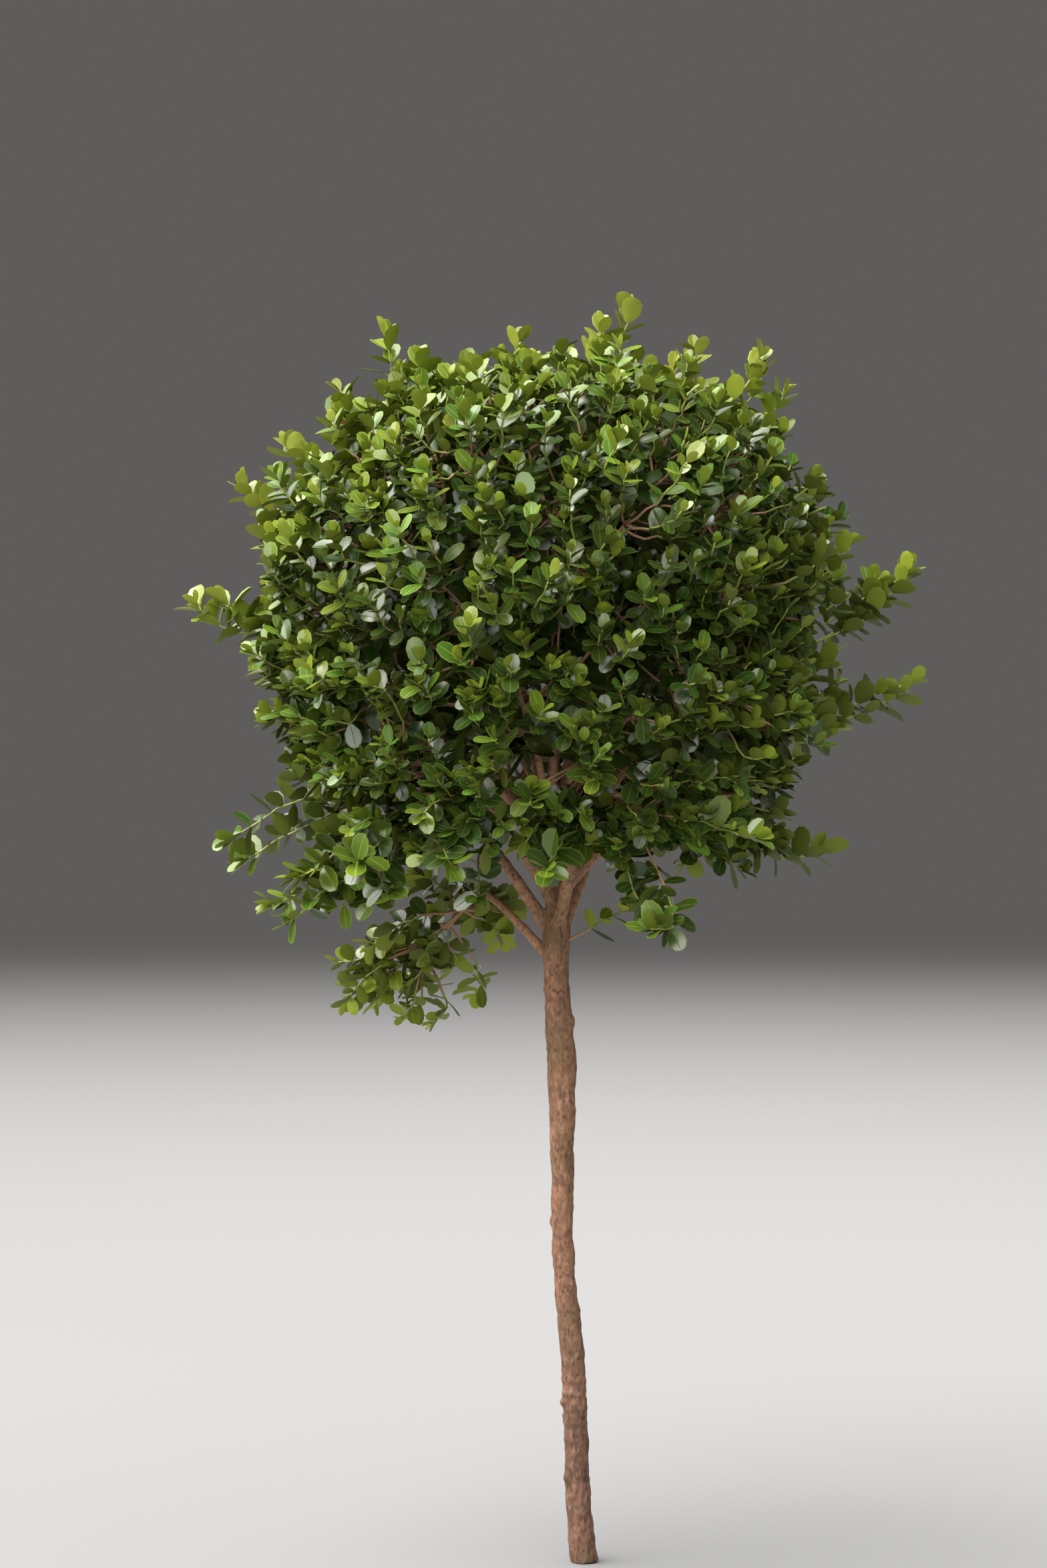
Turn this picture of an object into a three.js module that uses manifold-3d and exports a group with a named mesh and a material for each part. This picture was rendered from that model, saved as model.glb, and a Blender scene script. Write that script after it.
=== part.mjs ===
// A box ball tree on a bare stem, rooted at ground level, in millimetres with +Z up. The origin is the middle
// of the flat cut under the trunk. X runs to the right and Y runs away from the viewer.

import * as THREE from 'three';
import { ConvexGeometry } from 'three/addons/geometries/ConvexGeometry.js';
import { mergeVertices } from 'three/addons/utils/BufferGeometryUtils.js';
import Module from 'manifold-3d';

const wasm = await Module();
wasm.setup();

// Trunk, from its flat cut through the fork to the tip of the leader inside the crown
const TRUNK_STATIONS = [
  { height: 0, lean: 0, radius: 9.4 },
  { height: 24, lean: -2.4, radius: 8.4 },
  { height: 129, lean: -7.3, radius: 7.9 },
  { height: 190, lean: -13, radius: 7 },
  { height: 258, lean: -14, radius: 7.5 },
  { height: 320, lean: -14.6, radius: 9.3 },
  { height: 382, lean: -18, radius: 8.3 },
  { height: 404, lean: -18, radius: 9.6 },
  { height: 426, lean: -18.6, radius: 5.8 },
  { height: 470, lean: -20, radius: 4.6 },
  { height: 510, lean: -20.5, radius: 3.4 },
];
const TRUNK_SIDES = 10;
const TRUNK_STEPS = 27;

// Crown: a ball that is squarer below than above, and the heart that its boughs spread from
const CROWN_CENTRE = new THREE.Vector3(-26, 0, 614);
const CROWN_RADIUS = 186;
const CROWN_RISE = 177;
const CROWN_DROP = 176;
const SQUARENESS_ABOVE = 2.7;
const SQUARENESS_BELOW = 4.2;
const HEART = new THREE.Vector3(-20, 0, 490);

// Boughs in rings, each carrying one mass of foliage. Angles are in degrees: azimuth 0 is to the right and 90
// is to the back. Height and radius are those of the bough's root, and a ring climbs the trunk as it goes
// round. A mass begins at its entry distance from the heart.
const RINGS = [
  { name: 'lower', count: 6, azimuth: 50, elevation: 2, height: 396, climb: 2, radius: 4.2, entry: 75 },
  { name: 'middle', count: 6, azimuth: 20, elevation: 28, height: 444, climb: 4, radius: 2.8, entry: 75 },
  { name: 'upper', count: 5, azimuth: 54, elevation: 57, height: 470, climb: 4, radius: 2.6, entry: 75 },
  { name: 'top', count: 1, azimuth: 0, elevation: 88, height: 500, climb: 0, radius: 3.4, entry: 75 },
  { name: 'drooping', count: 1, azimuth: 127, elevation: -36, height: 384, climb: 0, radius: 3.2, entry: 105 },
];

// Every second bough of the lower ring leaves the trunk higher, so that three of them fork at the stem's top
const LOWER_RING_STAGGER = 22;

const BOUGH_BEND = 0.15;
const BOUGH_TIP_RADIUS = 2.2;
const BOUGH_SIDES = 6;
const BOUGH_STEPS = 5;
const JOINT_GAP = 0.3;

// Masses: a core inside the clipped ball, a stem in it, and twigs that stand out of it
const CORE_SHARE = 0.84;
const CORE_SETBACK = 10;
const CORE_DETAIL = 1;
const CELL_GAP = 0.8;
const STEM_SHARE = 0.7;
const STEM_TIP_RADIUS = 1.5;
const STEM_STEPS = 3;

// Twigs: tips spread evenly over the ball, and the angle at which they leave the stem
const TWIG_TIPS = 140;
const TWIG_LEVEL = [0.91, 0.98];
const TIPS_TOWARD_FOOT = 0.92;
const LOWEST_TIP = -0.77;
const TIP_CLEARANCE = 8;
const TIP_SHIFT = 0.1;
const TWIG_START = [14, 30];
const TWIG_ANGLE = THREE.MathUtils.degToRad(42);
const TWIG_STRAIGHT_SHARE = 0.42;
const TWIG_UPTURN = 0.2;
const TWIG_ROOT_RADIUS = 2.6;
const TWIG_TIP_RADIUS = 2;
const TWIG_SIDES = 4;
const TWIG_STEPS = 2;

// Tips of the shoots that have grown out past the clipped ball
const LONG_SHOOTS = [
  { right: 30, back: -10, height: 813 },
  { right: -129, back: -20, height: 802 },
  { right: 116, back: 0, height: 783 },
  { right: -161, back: 0, height: 761 },
  { right: -226, back: 40, height: 701 },
  { right: 178, back: 40, height: 662 },
  { right: 223, back: 90, height: 649 },
  { right: -256, back: 0, height: 622 },
  { right: 229, back: 110, height: 571 },
  { right: 165, back: 70, height: 456 },
  { right: -230, back: 55, height: 449 },
  { right: -207, back: -20, height: 408 },
  { right: 40, back: -150, height: 410 },
  { right: -160, back: 120, height: 339 },
];

// The drooping spray under the ball: its tips fan out about its stem, flatter than they are wide
const SPRAY_TIPS = 6;
const SPRAY_REACH = [155, 218];
const SPRAY_SPREAD = 58;
const SPRAY_FLATNESS = 0.6;
const SPRAY_STEM_REACH = 180;
const SPRAY_BARE_SHARE = 0.35;

// Leaves in opposite pairs, each pair turned a quarter from the last
const LEAF_LENGTH = 33;
const LEAF_WIDTH = 23;
const LEAF_THICKNESS = 1.2;
const LEAF_WIDEST = 0.62;
const LEAF_TIP_SHARE = 0.45;
const LEAF_ANGLES = [52, 30].map(THREE.MathUtils.degToRad);
const PAIR_SPACING = 19;
const FIRST_PAIR_SETBACK = 3;

const BARK_COLOUR = '#8c725c';
const BOUGH_COLOUR = '#80654f';
const LEAF_COLOUR = '#4c7a2c';
const BARK_ROUGHNESS = 0.9;
const LEAF_ROUGHNESS = 0.5;

const TURN = 2 * Math.PI;
const GOLDEN_ANGLE = Math.PI * (3 - Math.sqrt(5));
const SLIVER = 0.05;
const HALVINGS = 30;
const RANDOM_MULTIPLIER = 16807;
const RANDOM_MODULUS = 2147483647;

let seed = 25;

// The next seeded random number between two limits
function random(low, high) {
  seed = (seed * RANDOM_MULTIPLIER) % RANDOM_MODULUS;
  return low + (high - low) * (seed / RANDOM_MODULUS);
}

function direction(azimuth, elevation) {
  const polar = THREE.MathUtils.degToRad(90 - elevation);
  const turn = THREE.MathUtils.degToRad(azimuth);
  const level = Math.sin(polar);
  return new THREE.Vector3(level * Math.cos(turn), level * Math.sin(turn), Math.cos(polar));
}

function fromHeart(axis, distance) {
  return HEART.clone().addScaledVector(axis, distance);
}

// How far out a point lies in the ball: 0 at its centre and 1 on its surface
function crownLevel(point) {
  const out = point.clone().sub(CROWN_CENTRE);
  const above = out.z > 0;
  const power = above ? SQUARENESS_ABOVE : SQUARENESS_BELOW;
  const level = Math.hypot(out.x, out.y) / CROWN_RADIUS;
  const rise = Math.abs(out.z) / (above ? CROWN_RISE : CROWN_DROP);
  return (level ** power + rise ** power) ** (1 / power);
}

// The greatest distance along a ray at which a test still holds, for a test that fails only once
function furthest(holds, limit) {
  let near = 0;
  let far = limit;
  for (let step = 0; step < HALVINGS; step++) {
    const middle = (near + far) / 2;
    if (holds(middle)) {
      near = middle;
    } else {
      far = middle;
    }
  }
  return near;
}

// A geometry with shared vertices, made into a closed solid
function solidFrom(geometry) {
  geometry.deleteAttribute('normal');
  geometry.deleteAttribute('uv');
  const merged = mergeVertices(geometry);
  const vertProperties = new Float32Array(merged.attributes.position.array);
  const triVerts = new Uint32Array(merged.index.array);
  return new wasm.Manifold(new wasm.Mesh({ numProp: 3, vertProperties, triVerts }));
}

// The largest single body of a solid, without loose scraps or sealed hollows
function mainBody(solid) {
  const bodies = solid.simplify(SLIVER).decompose();
  return bodies.reduce((best, body) => (body.volume() > best.volume() ? body : best));
}

function meshFrom(name, solid, material) {
  const { vertProperties, triVerts } = solid.getMesh();
  const geometry = new THREE.BufferGeometry();
  geometry.setAttribute('position', new THREE.BufferAttribute(new Float32Array(vertProperties), 3));
  geometry.setIndex(new THREE.BufferAttribute(new Uint32Array(triVerts), 1));
  const mesh = new THREE.Mesh(geometry, material);
  mesh.name = name;
  return mesh;
}

// A capped cylinder whose vertices are carried to new places by place(share, across, side)
function bentCylinder(sides, steps, place) {
  const geometry = new THREE.CylinderGeometry(1, 1, 1, sides, steps);
  const position = geometry.attributes.position;
  for (let i = 0; i < position.count; i++) {
    const point = place(position.getY(i) + 0.5, position.getX(i), position.getZ(i));
    position.setXYZ(i, point.x, point.y, point.z);
  }
  return solidFrom(geometry);
}

// A tapering limb along a curve
function limb(curve, rootRadius, tipRadius, sides, steps) {
  const frames = curve.computeFrenetFrames(steps);
  return bentCylinder(sides, steps, (share, across, side) => {
    const ring = Math.round(share * steps);
    const radius = THREE.MathUtils.lerp(rootRadius, tipRadius, share);
    return curve
      .getPointAt(share)
      .addScaledVector(frames.binormals[ring], across * radius)
      .addScaledVector(frames.normals[ring], side * radius);
  });
}

// The trunk's line, with the lean as x, the radius as y and the height as z
const trunkLine = new THREE.CatmullRomCurve3(
  TRUNK_STATIONS.map(({ height, lean, radius }) => new THREE.Vector3(lean, radius, height)),
);

// The trunk with level rings, or the same trunk made larger all round by a clearance
function trunkSolid(clearance) {
  return bentCylinder(TRUNK_SIDES, TRUNK_STEPS, (share, across, side) => {
    const station = trunkLine.getPoint(share);
    const radius = station.y + clearance;
    const height = share === 1 ? station.z + clearance : station.z;
    return new THREE.Vector3(station.x + side * radius, across * radius, height);
  });
}

// The point on the trunk's centre line at a height
function trunkCentre(height) {
  const share = furthest((at) => trunkLine.getPoint(at).z < height, 1);
  return new THREE.Vector3(trunkLine.getPoint(share).x, 0, height);
}

function rootHeight(ring, index) {
  const stagger = ring.name === 'lower' ? LOWER_RING_STAGGER * (index % 2) : 0;
  return ring.height + ring.climb * index + stagger;
}

// One entry for each mass: its axis from the heart, its bough's root and where it begins
const masses = RINGS.flatMap((ring) =>
  Array.from({ length: ring.count }, (_, index) => ({
    ring,
    label: ring.count > 1 ? `${ring.name}_${index + 1}` : ring.name,
    axis: direction(ring.azimuth + (360 / ring.count) * index, ring.elevation),
    root: trunkCentre(rootHeight(ring, index)),
    tips: [],
  })),
);

// How far a point lies inside a mass's own space, measured from the nearest plane between it and another mass
function clearanceInCell(point, mass) {
  const out = point.clone().sub(HEART);
  const walls = masses.filter((other) => other !== mass).map((other) => mass.axis.clone().sub(other.axis));
  return Math.min(...walls.map((wall) => out.dot(wall.normalize())));
}

function massToward(out) {
  return masses.reduce((best, mass) => (out.dot(mass.axis) > out.dot(best.axis) ? mass : best));
}

// A tip is moved toward its mass's axis until a leaf has room beside it
function addTip(tip) {
  const mass = massToward(tip.clone().sub(HEART));
  const middle = fromHeart(mass.axis, tip.distanceTo(HEART));
  while (clearanceInCell(tip, mass) < TIP_CLEARANCE) {
    tip.lerp(middle, TIP_SHIFT);
  }
  mass.tips.push(tip);
}

function addBallTips() {
  for (let index = 0; index < TWIG_TIPS; index++) {
    const rise = 1 - 2 * ((index + 0.5) / TWIG_TIPS) ** TIPS_TOWARD_FOOT;
    const level = Math.sqrt(1 - rise * rise);
    const turn = index * GOLDEN_ANGLE;
    const out = new THREE.Vector3(level * Math.cos(turn), level * Math.sin(turn), rise);
    const share = random(...TWIG_LEVEL);
    if (rise < LOWEST_TIP) continue;
    const along = (distance) => CROWN_CENTRE.clone().addScaledVector(out, distance);
    addTip(along(furthest((distance) => crownLevel(along(distance)) < share, 2 * CROWN_RADIUS)));
  }
}

function addLongShootTips() {
  const leafReach = LEAF_LENGTH * Math.cos(LEAF_ANGLES[0]);
  for (const { right, back, height } of LONG_SHOOTS) {
    const out = new THREE.Vector3(right, back, height).sub(HEART);
    out.setLength(out.length() - leafReach);
    addTip(out.add(HEART));
  }
}

function addSprayTips() {
  const spray = masses.find((mass) => mass.ring.name === 'drooping');
  const across = new THREE.Vector3(0, 0, 1).cross(spray.axis).normalize();
  const upward = spray.axis.clone().cross(across);
  for (let index = 0; index < SPRAY_TIPS; index++) {
    const spread = SPRAY_SPREAD * Math.sqrt((index + 0.5) / SPRAY_TIPS);
    const turn = index * GOLDEN_ANGLE;
    const tip = fromHeart(spray.axis, random(...SPRAY_REACH));
    tip.addScaledVector(across, spread * Math.cos(turn));
    tip.addScaledVector(upward, spread * SPRAY_FLATNESS * Math.sin(turn));
    addTip(tip);
  }
}

function boughSolid(mass, fatTrunk) {
  const end = fromHeart(mass.axis, mass.ring.entry);
  const bend = end.clone().addScaledVector(mass.axis, -BOUGH_BEND * end.distanceTo(mass.root));
  const curve = new THREE.QuadraticBezierCurve3(mass.root, bend, end);
  const whole = limb(curve, mass.ring.radius, BOUGH_TIP_RADIUS, BOUGH_SIDES, BOUGH_STEPS);
  return mainBody(whole.subtract(fatTrunk));
}

// Where a mass's core begins and ends on its axis, as distances from the heart
function coreSpan(mass) {
  const start = mass.ring.entry + CORE_SETBACK;
  const inCore = (distance) => crownLevel(fromHeart(mass.axis, distance)) < CORE_SHARE;
  const end = furthest(inCore, 2 * CROWN_RADIUS);
  return { start, end };
}

// Where a mass's stem ends, as a distance from the heart
function stemReach(mass) {
  if (mass.ring.name === 'drooping') return SPRAY_STEM_REACH;
  const { start, end } = coreSpan(mass);
  return THREE.MathUtils.lerp(start, end, STEM_SHARE);
}

function stemSolid(mass) {
  const start = fromHeart(mass.axis, mass.ring.entry + JOINT_GAP);
  const curve = new THREE.LineCurve3(start, fromHeart(mass.axis, stemReach(mass)));
  return limb(curve, BOUGH_TIP_RADIUS, STEM_TIP_RADIUS, BOUGH_SIDES, STEM_STEPS);
}

// The core fills a mass's space inside the ball, seen as rays from a point on its axis
function coreSolid(mass) {
  const { start, end } = coreSpan(mass);
  const centre = fromHeart(mass.axis, (start + end) / 2);
  const sphere = new THREE.IcosahedronGeometry(1, CORE_DETAIL);
  sphere.deleteAttribute('normal');
  sphere.deleteAttribute('uv');
  const geometry = mergeVertices(sphere);
  const position = geometry.attributes.position;
  for (let i = 0; i < position.count; i++) {
    const ray = new THREE.Vector3().fromBufferAttribute(position, i).normalize();
    const along = (distance) => centre.clone().addScaledVector(ray, distance);
    const inside = (point) =>
      crownLevel(point) < CORE_SHARE &&
      clearanceInCell(point, mass) > CELL_GAP &&
      point.clone().sub(HEART).dot(mass.axis) > start;
    const point = along(furthest((distance) => inside(along(distance)), 2 * CROWN_RADIUS));
    position.setXYZ(i, point.x, point.y, point.z);
  }
  return solidFrom(geometry);
}

// A twig leaves the stem at an angle and turns outward and a little up to its tip
function twigCurve(mass, tip) {
  const out = tip.clone().sub(HEART);
  const along = out.dot(mass.axis);
  const aside = out.addScaledVector(mass.axis, -along).length();
  const lowest = mass.ring.entry + random(...TWIG_START);
  const rootDistance = THREE.MathUtils.clamp(along - aside / Math.tan(TWIG_ANGLE), lowest, stemReach(mass));
  const root = fromHeart(mass.axis, rootDistance);
  const outward = tip.clone().sub(CROWN_CENTRE).normalize();
  outward.z += TWIG_UPTURN;
  outward.normalize();
  const bend = tip.clone().addScaledVector(outward, -TWIG_STRAIGHT_SHARE * tip.distanceTo(root));
  return new THREE.QuadraticBezierCurve3(root, bend, tip);
}

// A rounded leaf from its root along X, with a flat upper face and a keel below
function leafGeometry() {
  const half = LEAF_WIDTH / 2;
  const widest = LEAF_LENGTH * LEAF_WIDEST;
  const tipHalf = half * LEAF_TIP_SHARE;
  return new ConvexGeometry([
    new THREE.Vector3(0, 0, 0),
    new THREE.Vector3(widest, half, 0),
    new THREE.Vector3(LEAF_LENGTH, tipHalf, 0),
    new THREE.Vector3(LEAF_LENGTH, -tipHalf, 0),
    new THREE.Vector3(widest, -half, 0),
    new THREE.Vector3(widest, 0, -LEAF_THICKNESS),
  ]);
}

const leafShape = leafGeometry();

// A leaf that leaves the twig at an angle, with its upper face toward the twig's tip
function placedLeaf(point, forward, aside, angle) {
  const along = forward.clone().multiplyScalar(Math.cos(angle)).addScaledVector(aside, Math.sin(angle));
  const face = forward.clone().multiplyScalar(Math.sin(angle)).addScaledVector(aside, -Math.cos(angle));
  const across = face.clone().cross(along);
  const place = new THREE.Matrix4().makeBasis(along, across, face);
  place.setPosition(point);
  return leafShape.clone().applyMatrix4(place);
}

function fitsCell(geometry, mass) {
  const position = geometry.attributes.position;
  const point = new THREE.Vector3();
  for (let i = 0; i < position.count; i++) {
    point.fromBufferAttribute(position, i);
    if (clearanceInCell(point, mass) < CELL_GAP) return false;
  }
  return true;
}

// A place on a twig's straight stretches: its point, the way forward, and a way out through a face's middle
function placeOnTwig(curve, share) {
  const frames = curve.computeFrenetFrames(TWIG_STEPS);
  const stretch = Math.min(Math.floor(share * TWIG_STEPS), TWIG_STEPS - 1);
  const start = curve.getPointAt(stretch / TWIG_STEPS);
  const end = curve.getPointAt((stretch + 1) / TWIG_STEPS);
  const forward = end.clone().sub(start).normalize();
  const aside = frames.normals[stretch].clone().add(frames.binormals[stretch]);
  aside.addScaledVector(forward, -aside.dot(forward)).normalize();
  return { point: start.lerp(end, share * TWIG_STEPS - stretch), forward, aside };
}

// Pairs of leaves from a twig's tip back to the core. A leaf with no room is folded closer, or else left out.
function leavesOn(curve, mass) {
  const leaves = [];
  const length = curve.getLength();
  for (let pair = 0; pair * PAIR_SPACING + FIRST_PAIR_SETBACK < length; pair++) {
    const share = 1 - (pair * PAIR_SPACING + FIRST_PAIR_SETBACK) / length;
    const { point, forward, aside } = placeOnTwig(curve, share);
    const bare = mass.ring.name === 'drooping' ? share < SPRAY_BARE_SHARE : crownLevel(point) < CORE_SHARE;
    if (bare) break;
    for (const half of [0, TURN / 2]) {
      const outward = aside.clone().applyAxisAngle(forward, (pair * TURN) / 4 + half);
      const tries = LEAF_ANGLES.map((angle) => placedLeaf(point, forward, outward, angle));
      const leaf = tries.find((geometry) => fitsCell(geometry, mass));
      if (leaf) leaves.push(leaf);
    }
  }
  return leaves;
}

function massSolid(mass) {
  const pieces = [stemSolid(mass)];
  if (mass.ring.name !== 'drooping') pieces.push(coreSolid(mass));
  for (const tip of mass.tips) {
    const curve = twigCurve(mass, tip);
    const twig = limb(curve, TWIG_ROOT_RADIUS, TWIG_TIP_RADIUS, TWIG_SIDES, TWIG_STEPS);
    pieces.push(twig, ...leavesOn(curve, mass).map(solidFrom));
  }
  return mainBody(wasm.Manifold.union(pieces));
}

addBallTips();
addLongShootTips();
addSprayTips();

function matte(color, roughness) {
  return new THREE.MeshStandardMaterial({ color, roughness, metalness: 0, flatShading: true });
}

const tree = new THREE.Group();
const fatTrunk = trunkSolid(JOINT_GAP);
const bark = matte(BARK_COLOUR, BARK_ROUGHNESS);
const boughBark = matte(BOUGH_COLOUR, BARK_ROUGHNESS);
const leafGreen = matte(LEAF_COLOUR, LEAF_ROUGHNESS);
tree.add(meshFrom('trunk', trunkSolid(0), bark));
for (const mass of masses) {
  tree.add(meshFrom(`bough_${mass.label}`, boughSolid(mass, fatTrunk), boughBark));
  tree.add(meshFrom(`foliage_${mass.label}`, massSolid(mass), leafGreen));
}

export default tree;
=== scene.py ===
# A ball-headed box tree on a bare stem: bark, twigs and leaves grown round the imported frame.
# Sizes are in millimetres, as the tree grows, and meshes are scaled to metres when they are made.

import math
from types import SimpleNamespace

import bpy
import numpy as np
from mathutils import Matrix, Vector, kdtree, noise


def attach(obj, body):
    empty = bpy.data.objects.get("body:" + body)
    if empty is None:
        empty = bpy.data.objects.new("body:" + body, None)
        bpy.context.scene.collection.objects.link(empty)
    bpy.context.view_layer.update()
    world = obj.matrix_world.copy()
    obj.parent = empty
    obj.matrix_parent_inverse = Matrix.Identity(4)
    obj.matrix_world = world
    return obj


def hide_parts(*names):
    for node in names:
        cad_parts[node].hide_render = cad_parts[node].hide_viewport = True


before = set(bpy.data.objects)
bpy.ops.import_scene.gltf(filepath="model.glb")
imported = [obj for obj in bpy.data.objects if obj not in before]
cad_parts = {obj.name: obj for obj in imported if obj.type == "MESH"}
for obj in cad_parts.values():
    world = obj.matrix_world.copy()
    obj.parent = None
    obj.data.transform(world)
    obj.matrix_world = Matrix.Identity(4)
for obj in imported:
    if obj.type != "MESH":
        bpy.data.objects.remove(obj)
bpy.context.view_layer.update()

METRES = 0.001
UP = np.array([0.0, 0.0, 1.0])
# A little off the upright, so that no shoot runs exactly along it
NEARLY_UP = UP + 0.01
GOLDEN_ANGLE = math.pi * (3 - math.sqrt(5))
SEED = 11
rng = np.random.default_rng(SEED)

# Trunk stations as height, lean and radius, from the flat cut to the tip of the leader
TRUNK_STATIONS = np.array(
    [
        (0, 0, 9.4),
        (24, -2.4, 8.4),
        (129, -7.3, 7.9),
        (190, -13, 7),
        (258, -14, 7.5),
        (320, -14.6, 9.3),
        (382, -18, 8.3),
        (404, -18, 9.6),
        (426, -18.6, 5.8),
        (470, -20, 4.6),
        (510, -20.5, 3.4),
    ]
)
TRUNK_STEPS = 120

# Crown: a ball that is squarer below than above, and the heart that its boughs spread from
CROWN_CENTRE = np.array([-26.0, 0.0, 614.0])
CROWN_RADIUS = 186
CROWN_RISE = 177
CROWN_DROP = 176
SQUARENESS_ABOVE = 2.7
SQUARENESS_BELOW = 4.2
HEART = np.array([-20.0, 0.0, 490.0])

# Rings of boughs as name, count, azimuth, elevation, root height, climb, root radius and entry distance
RINGS = [
    ("lower", 6, 50, 2, 396, 2, 4.2, 75),
    ("middle", 6, 20, 28, 444, 4, 2.8, 75),
    ("upper", 5, 54, 57, 470, 4, 2.6, 75),
    ("top", 1, 0, 88, 500, 0, 3.4, 75),
    ("drooping", 1, 127, -36, 384, 0, 3.2, 105),
]
LOWER_RING_STAGGER = 22
BOUGH_STEPS = 24
BOUGH_STRAIGHT_SHARE = 0.15
BOUGH_TIP_RADIUS = 2.2
COLLAR_SWELL = 0.3
COLLAR_SHARE = 0.1

# A mass's stem, and the twigs that leave it at an angle and turn outward and up
CORE_SHARE = 0.84
CORE_SETBACK = 10
STEM_STEPS = 5
STEM_SHARE = 0.7
STEM_TIP_RADIUS = 1.5
TWIG_TIPS = 140
TIPS_TOWARD_FOOT = 0.92
TWIG_LEVEL = (0.7, 0.82)
LOWEST_TWIG = -0.77
TWIG_STEPS = 9
TWIG_ANGLE = math.radians(42)
TWIG_STRAIGHT_SHARE = 0.42
TWIG_UPTURN = 0.2
TWIG_LOWEST_SHARE = 0.15
TWIG_RADII = (1.5, 0.9)

# Shoots: finer twigs that carry the leaves, spread over the ball
SHOOT_TIPS = 980
SHOOT_JITTER = 0.05
SHOOT_LEVEL = (0.87, 0.965)
SHOOT_LEVEL_DROP_ON_TOP = 0.06
SHOOT_TAIL = 0.022
SHOOT_TAIL_LIMIT = 0.1
LOWEST_SHOOT = -0.84
CLUMP_SIZE = 44
CLUMP_RELIEF = 0.07
SHOOT_UPTURN = (0.45, 1.7)
SHOOT_UPTURN_RISES = (-0.8, 0.2)
SHOOT_STRAY = 0.35
SHOOT_WIGGLE = 0.8
SHOOT_LOWEST_SHARE = 0.25
SHOOT_RADII = (0.95, 0.55)
SHOOT_BROWN_SHARE = 0.3

# How far the ball swells or shrinks on its right and left sides, by how high a shoot points
SWELL_RISES = (-0.9, -0.7, -0.5, -0.3, 0.0, 0.25, 0.45, 0.6, 0.75, 0.9)
SWELL_RIGHT = (-0.17, -0.08, -0.05, -0.05, -0.06, 0.0, 0.07, -0.06, -0.03, 0.0)
SWELL_LEFT = (-0.15, -0.13, -0.05, 0.01, 0.0, 0.0, -0.05, -0.13, -0.13, 0.0)

# Vigour: how new a shoot's leaves are, and how that changes toward the ball's top and right
VIGOUR = 0.45
VIGOUR_TOWARD_TOP = 0.36
VIGOUR_TOWARD_RIGHT = -0.17
VIGOUR_SPREAD = 0.16

# Shoots inside the ball
INNER_TIPS = 600
INNER_LEVEL = (0.4, 0.84)
INNER_VIGOUR = (0.0, 0.3)
INNER_LEAF_SIZE = 1.2

# Tips of the shoots that have grown out past the clipped ball, as right, back, height and side shoots
LONG_SHOOTS = [
    (30, -10, 813, 3),
    (-129, -20, 795, 4),
    (11, 80, 797, 2),
    (-43, -10, 792, 2),
    (72, -20, 786, 2),
    (116, 0, 783, 4),
    (134, 20, 762, 2),
    (-161, 0, 761, 4),
    (-197, 20, 728, 2),
    (154, 30, 703, 2),
    (-226, 40, 701, 4),
    (178, 40, 662, 4),
    (223, 90, 649, 4),
    (-256, 0, 622, 3),
    (229, 110, 571, 4),
    (165, 70, 456, 6),
    (-145, -120, 452, 4),
    (-85, -150, 450, 3),
    (108, -130, 468, 4),
    (-230, 55, 449, 8),
    (-25, -160, 447, 3),
    (40, -150, 410, 3),
    (-207, -20, 420, 9),
    (-160, 120, 350, 3),
]
LONG_VIGOUR = (0.05, 0.4)
LONG_VIGOUR_HEIGHTS = (450, 620)
LONG_LEAF_SIZE = 1.2
LONG_MOST_PAIRS = 11
LONG_SIDE_SPREAD = 11
LONG_SIDE_SETBACK = (12, 78)
LONG_SIDE_VIGOUR_DROP = 0.15
LONG_SIDE_MOST_PAIRS = 9

# The short twig under the fork
FORK_TWIG_HEIGHT = 396.0
FORK_TWIG_TIP = np.array([32.0, -16.0, 424.0])
FORK_TWIG_VIGOUR = 1.4

# The drooping spray under the ball
SPRAY_TIPS = 34
SPRAY_REACH = (120, 218)
SPRAY_SPREAD = 58
SPRAY_FLATNESS = 0.6
SPRAY_STEM_REACH = 180
SPRAY_VIGOUR = (0.65, 1.0)

# Sides of the tubes that limbs and twigs are made of
LIMB_SIDES = 16
STEM_SIDES = 8
TWIG_SIDES = 6
SHOOT_SIDES = 4

# Leaves in opposite pairs along a shoot, each pair turned a quarter from the last. A shoot's direction at a
# pair is read over the bend reach, a share of its length either way.
PAIR_SPACING = (7.0, 10.0)
TIP_SPACING_SHARE = 0.55
TIP_SPACING_STEP = 0.15
FIRST_PAIR_SETBACK = 1.0
MOST_PAIRS = 6
LOWEST_PAIR_SHARE = 0.12
BARE_LEVEL = 0.35
BEND_REACH = 0.05
LEAF_ANGLES = (22, 42, 56, 64)
LEAF_ANGLE_SPREAD = 11
LEAF_TURN_SPREAD = 0.28
LEAF_TWIST = (0.05, 0.6)
LIGHT_FROM_OUTSIDE = 0.3
LEVEL_SHOOT_TWIST = 0.35
LEVEL_SHOOT_LIFT = 0.3

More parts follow.
